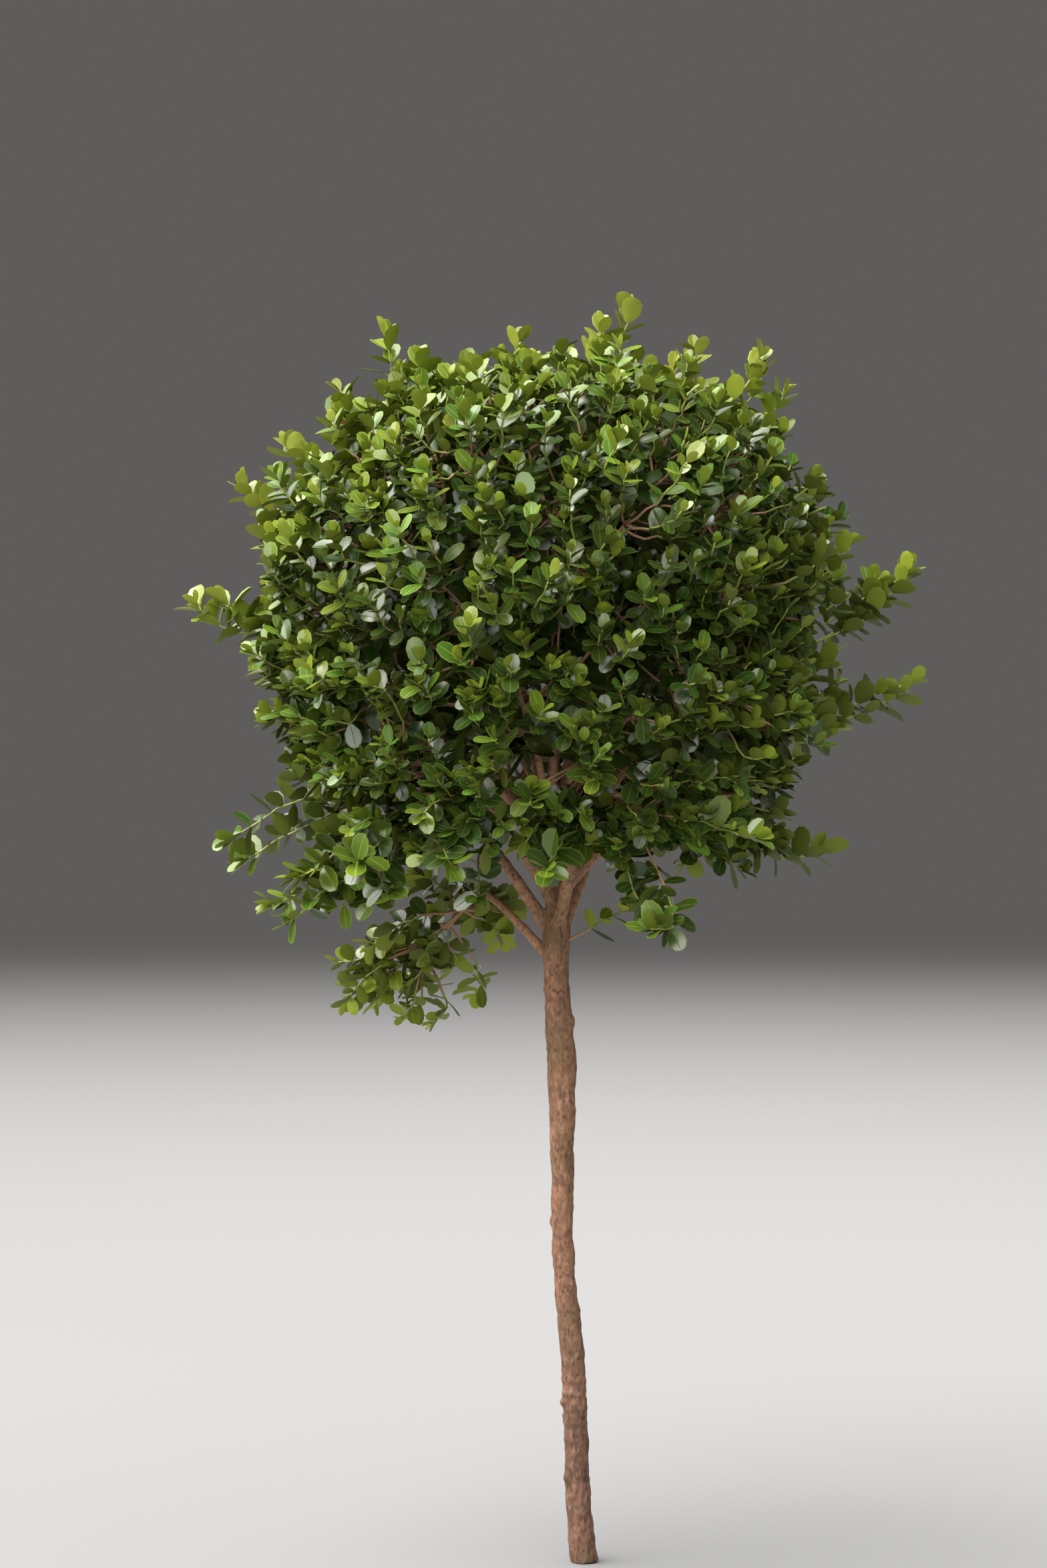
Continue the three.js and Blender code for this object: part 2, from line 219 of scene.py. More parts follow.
# A leaf's size and shape. Its pale strips, the rim and the midrib, are numbered across its columns, and the
# columns within the midrib's reach of the middle are pressed in.
LEAF_LENGTH = 14.0
LEAF_WIDTH_SHARE = 0.68
LEAF_THICKNESS = 0.35
LEAF_SIZES = (0.7, 0.94, 1.0)
LEAF_SIZE_SPREAD = 0.16
LEAF_FOLD = (-0.12, 0.34)
LEAF_CURL = (-0.04, 0.22)
LEAF_WIDEST = 0.54
LEAF_BASE_POWERS = (1.9, 0.85)
LEAF_TIP_POWERS = (2.3, 0.48)
LEAF_STATIONS = (0.08, 0.36, 0.68, 0.92)
LEAF_COLUMNS = (-1, -0.88, -0.07, 0.07, 0.88, 1)
PALE_STRIPS = (0, 2, 4)
PLAIN_LEAF_STATIONS = (0.2, 0.55, 0.88)
PLAIN_LEAF_COLUMNS = (-1, 0, 1)
MIDRIB_DEPTH = 0.12
MIDRIB_REACH = 0.5

# Kinds of leaf from the oldest to the newest, then dry ones, with how far a tint changes them and the
# colours of the upper face, the lower face and the pale strips
LEAF_KINDS = [
    ("old", 1.0, (0.024, 0.046, 0.005), (0.076, 0.100, 0.009), (0.062, 0.086, 0.014)),
    ("mature", 1.0, (0.067, 0.112, 0.010), (0.120, 0.152, 0.012), (0.124, 0.172, 0.028)),
    ("fresh", 0.8, (0.092, 0.144, 0.010), (0.158, 0.204, 0.014), (0.174, 0.230, 0.034)),
    ("young", 0.4, (0.116, 0.157, 0.010), (0.215, 0.262, 0.019), (0.188, 0.220, 0.029)),
    ("tip", 0.3, (0.134, 0.160, 0.015), (0.240, 0.275, 0.033), (0.238, 0.262, 0.038)),
    ("dry", 1.0, (0.130, 0.066, 0.020), (0.160, 0.090, 0.032), (0.170, 0.100, 0.045)),
]
UPPER_FACE, LOWER_FACE, RIM_FACE = range(3)
KIND_STEPS = (0.24, 0.5, 0.74, 0.92)
KIND_SPREAD = 0.06
AGE_STEP = 0.16
DRY_KIND = len(LEAF_KINDS) - 1
DRY_SHARE = 0.002
DRY_SIZE = 0.6
FIRST_DRY_PAIR = 2
LEAF_TINTS = [("plain", (1.0, 1.0, 1.0)), ("warm", (1.19, 1.0, 0.9)), ("cool", (0.74, 0.96, 1.0))]
PLAIN_TINT = 0
WARM_TINT = 1

# Finishes as roughness and specular level, and the twigs' colours
UPPER_FINISH = (0.27, 0.65)
LOWER_FINISH = (0.6, 0.25)
RIM_FINISH = (0.5, 0.25)
BROWN_TWIG_FINISH = (0.8, 0.5)
GREEN_TWIG_FINISH = (0.6, 0.5)
BARK_FINISH = (0.9, 0.2)
FLOOR_FINISH = (1.0, 0.0)
BROWN_TWIG = (0.30, 0.17, 0.09)
GREEN_TWIG = (0.2, 0.228, 0.04)

# The bark's noise patterns as scale, detail and stretch along the trunk
BARK_PATTERNS = {
    "blotches": (60, 3, 1.0),
    "grain": (420, 4, 0.35),
    "pits": (560, 2, 0.6),
    "patches": (24, 2, 0.6),
}
# The bark's first colour, then the layers over it, as what each follows, its range there and its colour
BARK_COLOUR = (0.238, 0.114, 0.065)
BARK_LAYERS = [
    ("blotches", (0.38, 0.62), (0.157, 0.08, 0.047)),
    ("girth", (6.5, 3), (0.42, 0.232, 0.125)),
    ("grain", (0.47, 0.72), (0.34, 0.185, 0.118)),
    ("patches", (0.48, 0.75), (0.12, 0.08, 0.033)),
    # Painted shade in the bark's small hollows, by their depth
    ("hollow_shade", (0.0, 0.7), (0.06, 0.03, 0.018)),
    ("pits", (0.46, 0.25), (0.065, 0.033, 0.019)),
]
# Painted shade that darkens the foot of the trunk, with its heights in metres
FOOT_SHADE = (0.56, 0.585, 0.65)
FOOT_SHADE_HEIGHTS = (0.28, 0.06)
# The grain's values that give no roughness and full roughness, and its bump's strength and depth in metres
GRAIN_ROUGHNESS = (-0.6, 1.1)
GRAIN_BUMP = (0.5, 0.0006)

# The bark's relief: each kind of bump by its width and height, and how far it stands out
LUMP_SIZE = (12, 16)
PLATE_SIZE = (3.6, 6)
PLATE_RELIEF = 0.5
GRAIN_SIZE = (1.9, 3.4)
GRAIN_RELIEF = 0.3
RING_SIZE = (40, 3.5)
RING_RELIEF = 0.3
KNOT_RELIEF = 0.7
KNOT_HEIGHT = 104
KNOT_SPREAD = 15
# Relief grows with a limb's girth, from this girth and over this much more of it
RELIEF_GIRTH = 1.5
RELIEF_GIRTH_SPAN = 6
LEAST_RELIEF = 0.12

# Stubs and scars on the trunk as height, azimuth, size and how far they stand out
TRUNK_NUBS = [
    (54, 200, 3.2, 1.6),
    (103, 185, 3.0, 2.4),
    (219, 178, 3.2, 1.8),
    (290, 262, 3.6, 1.4),
    (348, 4, 3.4, 1.6),
    (376, 255, 3.0, 1.2),
    (71, 265, 3.2, 1.3),
    (160, 30, 3.4, 1.3),
    (243, 95, 3.2, 1.5),
]

# The one skin of trunk and boughs
VOXEL = 0.92
SKIN_SMOOTHING = 0.5
SKIN_SMOOTHING_ROUNDS = 5

# The floor, in metres, and its colours by the tree and where it meets the backdrop, darker far off as
# painted shade
FLOOR_RADIUS = 14.0
FLOOR_SIDES = 64
FLOOR_SHADE_FADE = (0.2, 10.0)
FLOOR_NEAR = (0.165, 0.166, 0.167)
FLOOR_FAR_SHADE = (0.0241, 0.02365, 0.0231)
BACKDROP_COLOUR = (0.52, 0.5, 0.48)
BACKDROP_STRENGTH = 0.22

# Lights as name, azimuth, elevation, width in degrees, strength, colour and whether leaves mirror them
WARM_LIGHT = (1.0, 0.96, 0.91)
WHITE_LIGHT = (1.0, 1.0, 1.0)
LIGHTS = [
    ("key", 205, 50, 60, 6.5, WARM_LIGHT, True),
    ("window", 165, 78, 34, 2.0, WARM_LIGHT, True),
    ("sky", 160, 80, 110, 6.0, WHITE_LIGHT, False),
    ("fill", 268, 10, 60, 3.1, WHITE_LIGHT, True),
    ("rim", 140, 40, 50, 1.6, WHITE_LIGHT, True),
]

# The camera's lens and sensor, and its place in metres
CAMERA_LENS = 85
CAMERA_SENSOR = 36
CAMERA_PLACE = (-0.039, -2.385, 0.501)

# The colour sockets of a mix node, which has others of the same names for other kinds of value
MIX_FIRST = 6
MIX_SECOND = 7
MIX_RESULT = 2


def unit(vectors):
    return vectors / np.linalg.norm(vectors, axis=-1, keepdims=True)


def direction(azimuth, elevation):
    turn = math.radians(azimuth)
    rise = math.radians(elevation)
    level = math.cos(rise)
    return np.array([level * math.cos(turn), level * math.sin(turn), math.sin(rise)])


def crown_level(offset):
    """How far out an offset from the crown's centre lies: 0 at the centre and 1 on the ball."""
    above = offset[2] > 0
    power = SQUARENESS_ABOVE if above else SQUARENESS_BELOW
    level = math.hypot(offset[0], offset[1]) / CROWN_RADIUS
    rise = abs(offset[2]) / (CROWN_RISE if above else CROWN_DROP)
    return (level**power + rise**power) ** (1 / power)


def crown_point(out, level):
    """The point that lies at a level in a direction from the crown's centre."""
    return CROWN_CENTRE + out * (level / crown_level(out))


def crown_rise(point):
    """How high a point is: 0 at the height of the crown's centre and 1 at the ball's top."""
    return (point[2] - CROWN_CENTRE[2]) / CROWN_RISE


def smooth_between(at, places, values):
    """A smooth curve through the values at their places, read at other places between them."""
    slopes = np.gradient(values, places)
    left = np.clip(np.searchsorted(places, at) - 1, 0, len(places) - 2)
    gap = places[left + 1] - places[left]
    share = (at - places[left]) / gap
    rest = 1 - share
    start = (values[left] * (1 + 2 * share) + slopes[left] * gap * share) * rest**2
    end = (values[left + 1] * (1 + 2 * rest) - slopes[left + 1] * gap * rest) * share**2
    return start + end


def trunk_line(heights):
    """Points on the trunk's centre line, and its radii there."""
    places, leans, radii = TRUNK_STATIONS.T
    points = np.zeros((len(heights), 3))
    points[:, 0] = smooth_between(heights, places, leans)
    points[:, 2] = heights
    return points, smooth_between(heights, places, radii)


def trunk_at(height):
    """The middle of the trunk at a height, and its radius there."""
    points, radii = trunk_line(np.array([height]))
    return points[0], radii[0]


def curve_to(root, tip, outward, straight_share, count=TWIG_STEPS):
    """Points on a limb that leaves its root and reaches its tip along outward."""
    bend = tip - outward * straight_share * np.linalg.norm(tip - root)
    share = np.linspace(0, 1, count)[:, None]
    return (1 - share) ** 2 * root + 2 * share * (1 - share) * bend + share**2 * tip


def point_on(line, share):
    """The point a share of the way along a line, by its evenly spread points."""
    place = share * (len(line) - 1)
    before = min(int(place), len(line) - 2)
    return line[before] + (line[before + 1] - line[before]) * (place - before)


def root_on(parent, tip, lowest_share):
    """The point on a limb that a twig leaves at the twigs' angle to reach its tip."""
    span = parent[-1] - parent[0]
    length = np.linalg.norm(span)
    along = (tip - parent[0]) @ span / length
    aside = np.linalg.norm(tip - parent[0] - span * (along / length))
    share = (along - aside / math.tan(TWIG_ANGLE)) / length
    return point_on(parent, min(max(share, lowest_share), 1))


def twig_to(parent, tip, lowest_share, upturn):
    """A twig from its parent limb to its tip, which points away from the crown's centre and up."""
    outward = unit(unit(tip - CROWN_CENTRE) + upturn)
    return curve_to(root_on(parent, tip, lowest_share), tip, outward, TWIG_STRAIGHT_SHARE)


def lattice(count, jitter):
    """Directions spread evenly over a ball, a little more densely toward its foot."""
    share = ((np.arange(count) + 0.5) / count) ** TIPS_TOWARD_FOOT
    rise = 1 - 2 * share
    level = np.sqrt(1 - rise**2)
    turn = np.arange(count) * GOLDEN_ANGLE
    out = np.stack([level * np.cos(turn), level * np.sin(turn), rise], axis=1)
    return unit(out + rng.normal(0, jitter, out.shape))


def stem_reach(axis, entry):
    """How far along its axis a mass's stem goes before the crown's core ends."""
    distances = np.arange(entry + CORE_SETBACK, 2 * CROWN_RADIUS)
    inside = [d for d in distances if crown_level(HEART + axis * d - CROWN_CENTRE) < CORE_SHARE]
    return entry + CORE_SETBACK + STEM_SHARE * (inside[-1] - entry - CORE_SETBACK)


def make_masses():
    """One entry for each mass: its label, axis, bough, stem and the twigs and shoots that grow on it."""
    masses = []
    for name, count, azimuth, elevation, height, climb, radius, entry in RINGS:
        for index in range(count):
            axis = direction(azimuth + 360 / count * index, elevation)
            stagger = LOWER_RING_STAGGER * (index % 2) if name == "lower" else 0
            root, _ = trunk_at(height + climb * index + stagger)
            end = HEART + axis * entry
            drooping = name == "drooping"
            reach = SPRAY_STEM_REACH if drooping else stem_reach(axis, entry)
            masses.append(
                SimpleNamespace(
                    label=f"{name}_{index + 1}" if count > 1 else name,
                    drooping=drooping,
                    axis=axis,
                    radius=radius,
                    bough=curve_to(root, end, axis, BOUGH_STRAIGHT_SHARE, BOUGH_STEPS),
                    stem=np.linspace(end, HEART + axis * reach, STEM_STEPS),
                    twigs=[],
                    shoots=[],
                )
            )
    return masses


def mass_toward(masses, point):
    """The mass that reaches furthest toward a point."""
    return max(masses, key=lambda mass: (point - HEART) @ mass.axis)


def add_twigs(masses):
    """Twigs inside the ball, from each mass's stem."""
    for out in lattice(TWIG_TIPS, 0):
        tip = crown_point(out, rng.uniform(*TWIG_LEVEL))
        if out[2] < LOWEST_TWIG:
            continue
        mass = mass_toward(masses[:-1], tip)
        mass.twigs.append(twig_to(mass.stem, tip, TWIG_LOWEST_SHARE, TWIG_UPTURN * UP))


def leafy_shoot(line, vigour, tint, leaf_size=1.0, most_pairs=MOST_PAIRS, inner=False):
    """A shoot's line and what its leaves are like."""
    return SimpleNamespace(
        line=line, vigour=vigour, tint=tint, leaf_size=leaf_size, most_pairs=most_pairs, inner=inner
    )


def add_shoot(mass, tip, vigour, tint, **leaves):
    """A shoot from the nearest twig of its mass, or from the stem where the mass has no twigs."""
    parents = mass.twigs or [mass.stem]
    parent = min(parents, key=lambda line: np.linalg.norm(line[-1] - tip))
    upturn = np.interp(crown_rise(tip), SHOOT_UPTURN_RISES, SHOOT_UPTURN) * UP
    line = twig_to(parent, tip, SHOOT_LOWEST_SHARE, upturn + rng.normal(0, SHOOT_STRAY, 3))
    line[1:-1] += rng.normal(0, SHOOT_WIGGLE, (len(line) - 2, 3))
    mass.shoots.append(leafy_shoot(line, vigour, tint, **leaves))


def any_tint():
    return rng.integers(len(LEAF_TINTS))


def ball_vigour(tip):
    """New growth is strongest on the top of the ball and a little stronger on its left."""
    right = (tip[0] - CROWN_CENTRE[0]) / CROWN_RADIUS
    vigour = VIGOUR + VIGOUR_TOWARD_TOP * max(crown_rise(tip), 0) + VIGOUR_TOWARD_RIGHT * right
    return vigour + rng.normal(0, VIGOUR_SPREAD)


def shoot_level(out):
    """How far out a shoot reaches, by the ball's swells and clumps and the shoot's own growth."""
    level = rng.uniform(*SHOOT_LEVEL) - SHOOT_LEVEL_DROP_ON_TOP * max(out[2], 0) ** 2
    level += max(out[0], 0) * np.interp(out[2], SWELL_RISES, SWELL_RIGHT)
    level += max(-out[0], 0) * np.interp(out[2], SWELL_RISES, SWELL_LEFT)
    level += CLUMP_RELIEF * noise.noise(Vector(crown_point(out, 1) / CLUMP_SIZE))
    return level + min(rng.exponential(SHOOT_TAIL), SHOOT_TAIL_LIMIT)


def add_shoots(masses):
    """Shoots over the ball, then shoots inside it."""
    ball = masses[:-1]
    for out in lattice(SHOOT_TIPS, SHOOT_JITTER):
        tip = crown_point(out, shoot_level(out))
        if out[2] < LOWEST_SHOOT:
            continue
        vigour = ball_vigour(tip)
        add_shoot(mass_toward(ball, tip), tip, vigour, any_tint())
    for out in lattice(INNER_TIPS, SHOOT_JITTER):
        tip = crown_point(out, rng.uniform(*INNER_LEVEL))
        if out[2] < LOWEST_SHOOT:
            continue
        tint = any_tint()
        vigour = rng.uniform(*INNER_VIGOUR)
        add_shoot(mass_toward(ball, tip), tip, vigour, tint, leaf_size=INNER_LEAF_SIZE, inner=True)


def add_long_shoots(masses):
    """Each long shoot has a few side shoots behind its tip."""
    for *place, side_shoots in LONG_SHOOTS:
        out = np.array(place) - HEART
        tip = HEART + out - unit(out) * LEAF_LENGTH / 2
        mass = mass_toward(masses, tip)
        vigour = ball_vigour(tip) + np.interp(tip[2], LONG_VIGOUR_HEIGHTS, LONG_VIGOUR)
        add_shoot(mass, tip, vigour, PLAIN_TINT, leaf_size=LONG_LEAF_SIZE, most_pairs=LONG_MOST_PAIRS)
        for _ in range(side_shoots):
            side = tip - unit(out) * rng.uniform(*LONG_SIDE_SETBACK) + rng.normal(0, LONG_SIDE_SPREAD, 3)
            add_shoot(
                mass,
                side,
                vigour - LONG_SIDE_VIGOUR_DROP,
                any_tint(),
                leaf_size=LONG_LEAF_SIZE,
                most_pairs=LONG_SIDE_MOST_PAIRS,
            )


def add_fork_twig(masses):
    """A short twig with a few leaves that leaves the trunk just under the fork."""
    root, _ = trunk_at(FORK_TWIG_HEIGHT)
    line = curve_to(root, FORK_TWIG_TIP, unit(FORK_TWIG_TIP - root), TWIG_STRAIGHT_SHARE)
    mass_toward(masses, FORK_TWIG_TIP).shoots.append(leafy_shoot(line, FORK_TWIG_VIGOUR, WARM_TINT))


def add_spray(masses):
    """The drooping mass: its tips fan out about its stem, flatter than they are wide."""
    spray = masses[-1]
    across = unit(np.cross(UP, spray.axis))
    upward = np.cross(spray.axis, across)
    for index in range(SPRAY_TIPS):
        spread = SPRAY_SPREAD * math.sqrt((index + 0.5) / SPRAY_TIPS)
        turn = index * GOLDEN_ANGLE
        tip = HEART + spray.axis * rng.uniform(*SPRAY_REACH)
        tip = tip + across * spread * math.cos(turn) + upward * spread * SPRAY_FLATNESS * math.sin(turn)
        add_shoot(spray, tip, rng.uniform(*SPRAY_VIGOUR), WARM_TINT)


def leaves_on(shoot, drooping):
    """Pairs of leaves from a shoot's tip back to where it is bare, closer together near the tip."""
    line = shoot.line
    length = np.linalg.norm(np.diff(line, axis=0), axis=1).sum()
    spacing = rng.uniform(*PAIR_SPACING)
    start_turn = rng.uniform(0, math.pi)
    leaves = []
    place = FIRST_PAIR_SETBACK
    for pair in range(shoot.most_pairs):
        share = 1 - place / length
        if share < LOWEST_PAIR_SHARE:
            break
        point = point_on(line, share)
        if not drooping and crown_level(point - CROWN_CENTRE) < BARE_LEVEL:
            break
        ahead = point_on(line, min(share + BEND_REACH, 1))
        forward = unit(ahead - point_on(line, max(share - BEND_REACH, 0)))
        reference = unit(np.cross(forward, NEARLY_UP))
        other = np.cross(forward, reference)
        for half in (0, math.pi):
            turn = start_turn + pair * math.pi / 2 + half + rng.normal(0, LEAF_TURN_SPREAD)
            aside = reference * math.cos(turn) + other * math.sin(turn)
            leaves.append(make_leaf(shoot, point, forward, aside, pair))
        place += spacing * min(TIP_SPACING_SHARE + TIP_SPACING_STEP * pair, 1)
    return leaves


def make_leaf(shoot, point, forward, aside, pair):
    """A leaf as its place, its way along, the way its upper face looks, its size, fold, curl, kind and tint.

    The upper face is turned toward the light, and more so on a shoot that lies level."""
    age = pair * MOST_PAIRS / shoot.most_pairs
    angle = np.interp(age, range(len(LEAF_ANGLES)), LEAF_ANGLES)
    angle = math.radians(angle + rng.normal(0, LEAF_ANGLE_SPREAD))
    level = 1 - max(forward[2], 0)
    along = unit(forward * math.cos(angle) + aside * math.sin(angle) + LEVEL_SHOOT_LIFT * level * UP)
    face = forward * math.sin(angle) - aside * math.cos(angle)
    light = UP + LIGHT_FROM_OUTSIDE * unit(point - CROWN_CENTRE)
    light = unit(light - along * (light @ along))
    twist = rng.uniform(*LEAF_TWIST) + LEVEL_SHOOT_TWIST * level
    face = face * (1 - twist) + light * twist
    face = unit(face - along * (face @ along))
    size = LEAF_SIZES[min(pair, len(LEAF_SIZES) - 1)] * rng.normal(1, LEAF_SIZE_SPREAD)
    size *= shoot.leaf_size
    newness = shoot.vigour - AGE_STEP * age + rng.normal(0, KIND_SPREAD)
    kind = int(np.searchsorted(KIND_STEPS, newness))
    if pair >= FIRST_DRY_PAIR and rng.random() < DRY_SHARE:
        kind = DRY_KIND
        size *= DRY_SIZE
    return (*point, *along, *face, size, rng.uniform(*LEAF_FOLD), rng.uniform(*LEAF_CURL), kind, shoot.tint)


def leaf_half_width(share):
    """A rounded outline that is widest past the middle, as a share of the greatest half width."""
    if share < LEAF_WIDEST:
        from_widest = 1 - share / LEAF_WIDEST
        fall, fullness = LEAF_BASE_POWERS
    else:
        from_widest = (share - LEAF_WIDEST) / (1 - LEAF_WIDEST)
        fall, fullness = LEAF_TIP_POWERS
    return (1 - from_widest**fall) ** fullness


def leaf_template(stations, columns, pale_strips):
    """A leaf's points as shares of its length and half width, its triangles and which face each is on.

    The upper face has a row of points at each station. The lower face meets along one row of keel points."""
    width = len(columns)
    last = len(stations) - 1
    points = [(0.0, 0.0, 0.0, True)]
    for station in stations:
        half = leaf_half_width(station)
        for column in columns:
            depth = MIDRIB_DEPTH if abs(column) < MIDRIB_REACH else 0.0
            points.append((station, column * half, depth, abs(column) == 1))
    keel = len(points)
    for station in stations:
        points.append((station, 0.0, LEAF_THICKNESS + MIDRIB_DEPTH, False))
    tip = len(points)
    points.append((1.0, 0.0, 0.0, True))
    triangles = []
    faces = []

    def top(station, column):
        return 1 + station * width + column

    def add(corners, face):
        for third in range(2, len(corners)):
            triangles.append((corners[0], corners[third - 1], corners[third]))
            faces.append(face)

    for column in range(width - 1):
        face = RIM_FACE if column in pale_strips else UPPER_FACE
        beside = column + 1
        add((0, top(0, column), top(0, beside)), face)
        for s in range(last):
            add((top(s, column), top(s + 1, column), top(s + 1, beside), top(s, beside)), face)
        add((top(last, column), tip, top(last, beside)), face)
    for edge, flip in ((0, False), (width - 1, True)):
        strips = [(0, keel, top(0, edge))]
        strips += [(top(s, edge), keel + s, keel + s + 1, top(s + 1, edge)) for s in range(last)]
        strips.append((top(last, edge), keel + last, tip))
        for corners in strips:
            add(corners[::-1] if flip else corners, LOWER_FACE)
    along, across, depth, outline = np.array(points).T
    return SimpleNamespace(
        along=along,
        across=across,
        depth=depth,
        outline=outline.astype(bool),
        triangles=np.array(triangles),
        faces=np.array(faces),
    )


def leaf_mesh(leaves, template):
    """Many leaves' vertices and triangles, each triangle's material and which vertices are on outlines."""
    # The columns are three vectors and then five single values, as make_leaf gives them
    point, along, face, traits = np.split(np.array(leaves), (3, 6, 9), axis=1)
    size, fold, curl, kind, tint = traits.T[..., None]
    length = size * LEAF_LENGTH
    x = template.along * length
    y = template.across * length * LEAF_WIDTH_SHARE / 2
    z = np.abs(y) * fold - curl * length * template.along**2 - template.depth
    vertices = point[:, None]
    for way, reach in ((along, x), (np.cross(face, along), y), (face, z)):
        vertices = vertices + way[:, None] * reach[..., None]
    offsets = np.arange(len(leaves)) * len(template.along)
    triangles = template.triangles[None] + offsets[:, None, None]
    upper = kind * len(LEAF_TINTS) + tint
    lower = len(LEAF_KINDS) * len(LEAF_TINTS) + kind
    rim = lower + len(LEAF_KINDS)
    material = np.concatenate([upper, lower, rim], axis=1).astype(int)[:, template.faces]
    outline = np.tile(template.outline, len(leaves))
    return vertices.reshape(-1, 3), triangles.reshape(-1, 3), material.ravel(), outline


def tubes(lines, radii, sides):
    """Closed tubes along lines of equal length, as vertices and triangles, one line's after another's."""
    lines = np.asarray(lines)
    radii = np.asarray(radii)
    number, steps = lines.shape[:2]
    forward = unit(np.gradient(lines, axis=1))
    overall = np.abs(lines[:, -1] - lines[:, 0])
    reference = np.eye(3)[np.argmin(overall, axis=1)][:, None]
    side = unit(reference - forward * (reference * forward).sum(-1, keepdims=True))
    other = np.cross(forward, side)
    turn = np.arange(sides) * 2 * math.pi / sides
    ring = side[:, :, None] * np.cos(turn)[:, None] + other[:, :, None] * np.sin(turn)[:, None]
    skin = lines[:, :, None] + ring * radii[:, :, None, None]
    ends = lines[:, [0, -1]]
    vertices = np.concatenate([skin.reshape(number, -1, 3), ends], axis=1)
    triangles = []
    for step in range(steps - 1):
        for corner in range(sides):
            here = step * sides + corner
            beside = step * sides + (corner + 1) % sides
            triangles += [(here, beside, beside + sides), (here, beside + sides, here + sides)]
    root = steps * sides
    tip = root + 1
    last_ring = root - sides
    for corner in range(sides):
        after = (corner + 1) % sides
        triangles.append((root, after, corner))
        triangles.append((tip, last_ring + corner, last_ring + after))
    offsets = np.arange(number) * vertices.shape[1]
    triangles = np.array(triangles)[None] + offsets[:, None, None]
    return vertices.reshape(-1, 3), triangles.reshape(-1, 3)


def joined(parts):
    """Parts of vertices, triangles and other rows as one of each, with the triangles renumbered."""
    renumbered = []
    count = 0
    for vertices, triangles, *others in parts:
        renumbered.append((vertices, triangles + count, *others))
        count += len(vertices)
    return [np.concatenate(columns) for columns in zip(*renumbered)]


def in_scene(name, data):
    """A new object in the scene, made of a mesh, light or camera."""
    made = bpy.data.objects.new(name, data)
    bpy.context.scene.collection.objects.link(made)
    return made


def make_object(name, vertices, triangles, materials, material_index):
    """A mesh object from arrays, with only the materials that it uses."""
    mesh = bpy.data.meshes.new(name)
    mesh.vertices.add(len(vertices))
    mesh.vertices.foreach_set("co", (vertices * METRES).astype(np.float32).ravel())
    mesh.loops.add(triangles.size)
    mesh.loops.foreach_set("vertex_index", triangles.astype(np.int32).ravel())
    mesh.polygons.add(len(triangles))
    mesh.polygons.foreach_set("loop_start", np.arange(0, triangles.size, 3, dtype=np.int32))
    used, index = np.unique(material_index, return_inverse=True)
    for number in used:
        mesh.materials.append(materials[number])
    mesh.polygons.foreach_set("material_index", index.astype(np.int32))
    mesh.polygons.foreach_set("use_smooth", np.ones(len(triangles), dtype=bool))
    mesh.update(calc_edges=True)
    mesh.validate()
    return in_scene(name, mesh)


def sharpen(mesh, outline):
    """Sharp edges all round the leaves, so that upper and lower faces are shaded apart."""
    pairs = np.zeros(len(mesh.edges) * 2, dtype=np.int32)
    mesh.edges.foreach_get("vertices", pairs)
    pairs = pairs.reshape(-1, 2)
    sharp = outline[pairs[:, 0]] & outline[pairs[:, 1]]
    mesh.attributes.new("sharp_edge", "BOOLEAN", "EDGE")
    mesh.attributes["sharp_edge"].data.foreach_set("value", sharp)


def surface(name, colour, finish):
    """A plain material from its colour and its finish."""
    material = bpy.data.materials.new(name)
    material.use_nodes = True
    sockets = material.node_tree.nodes["Principled BSDF"].inputs
    sockets["Base Color"].default_value = (*colour, 1)
    sockets["Roughness"].default_value, sockets["Specular IOR Level"].default_value = finish
    return material


def leaf_materials():
    """One glossy upper face for each kind and tint, then a dull lower face and a rim for each kind."""
    materials = []
    for kind, tint_share, upper, _, _ in LEAF_KINDS:
        for tint, factors in LEAF_TINTS:
            colour = [c * (1 + tint_share * (f - 1)) for c, f in zip(upper, factors)]
            materials.append(surface(f"leaf_{kind}_{tint}", colour, UPPER_FINISH))
    for kind, _, _, lower, _ in LEAF_KINDS:
        materials.append(surface(f"leaf_{kind}_under", lower, LOWER_FINISH))
    for kind, _, _, _, rim in LEAF_KINDS:
        materials.append(surface(f"leaf_{kind}_rim", rim, RIM_FINISH))
    return materials


def twig_materials():
    return [
        surface("twig_brown", BROWN_TWIG, BROWN_TWIG_FINISH),
        surface("twig_green", GREEN_TWIG, GREEN_TWIG_FINISH),
    ]


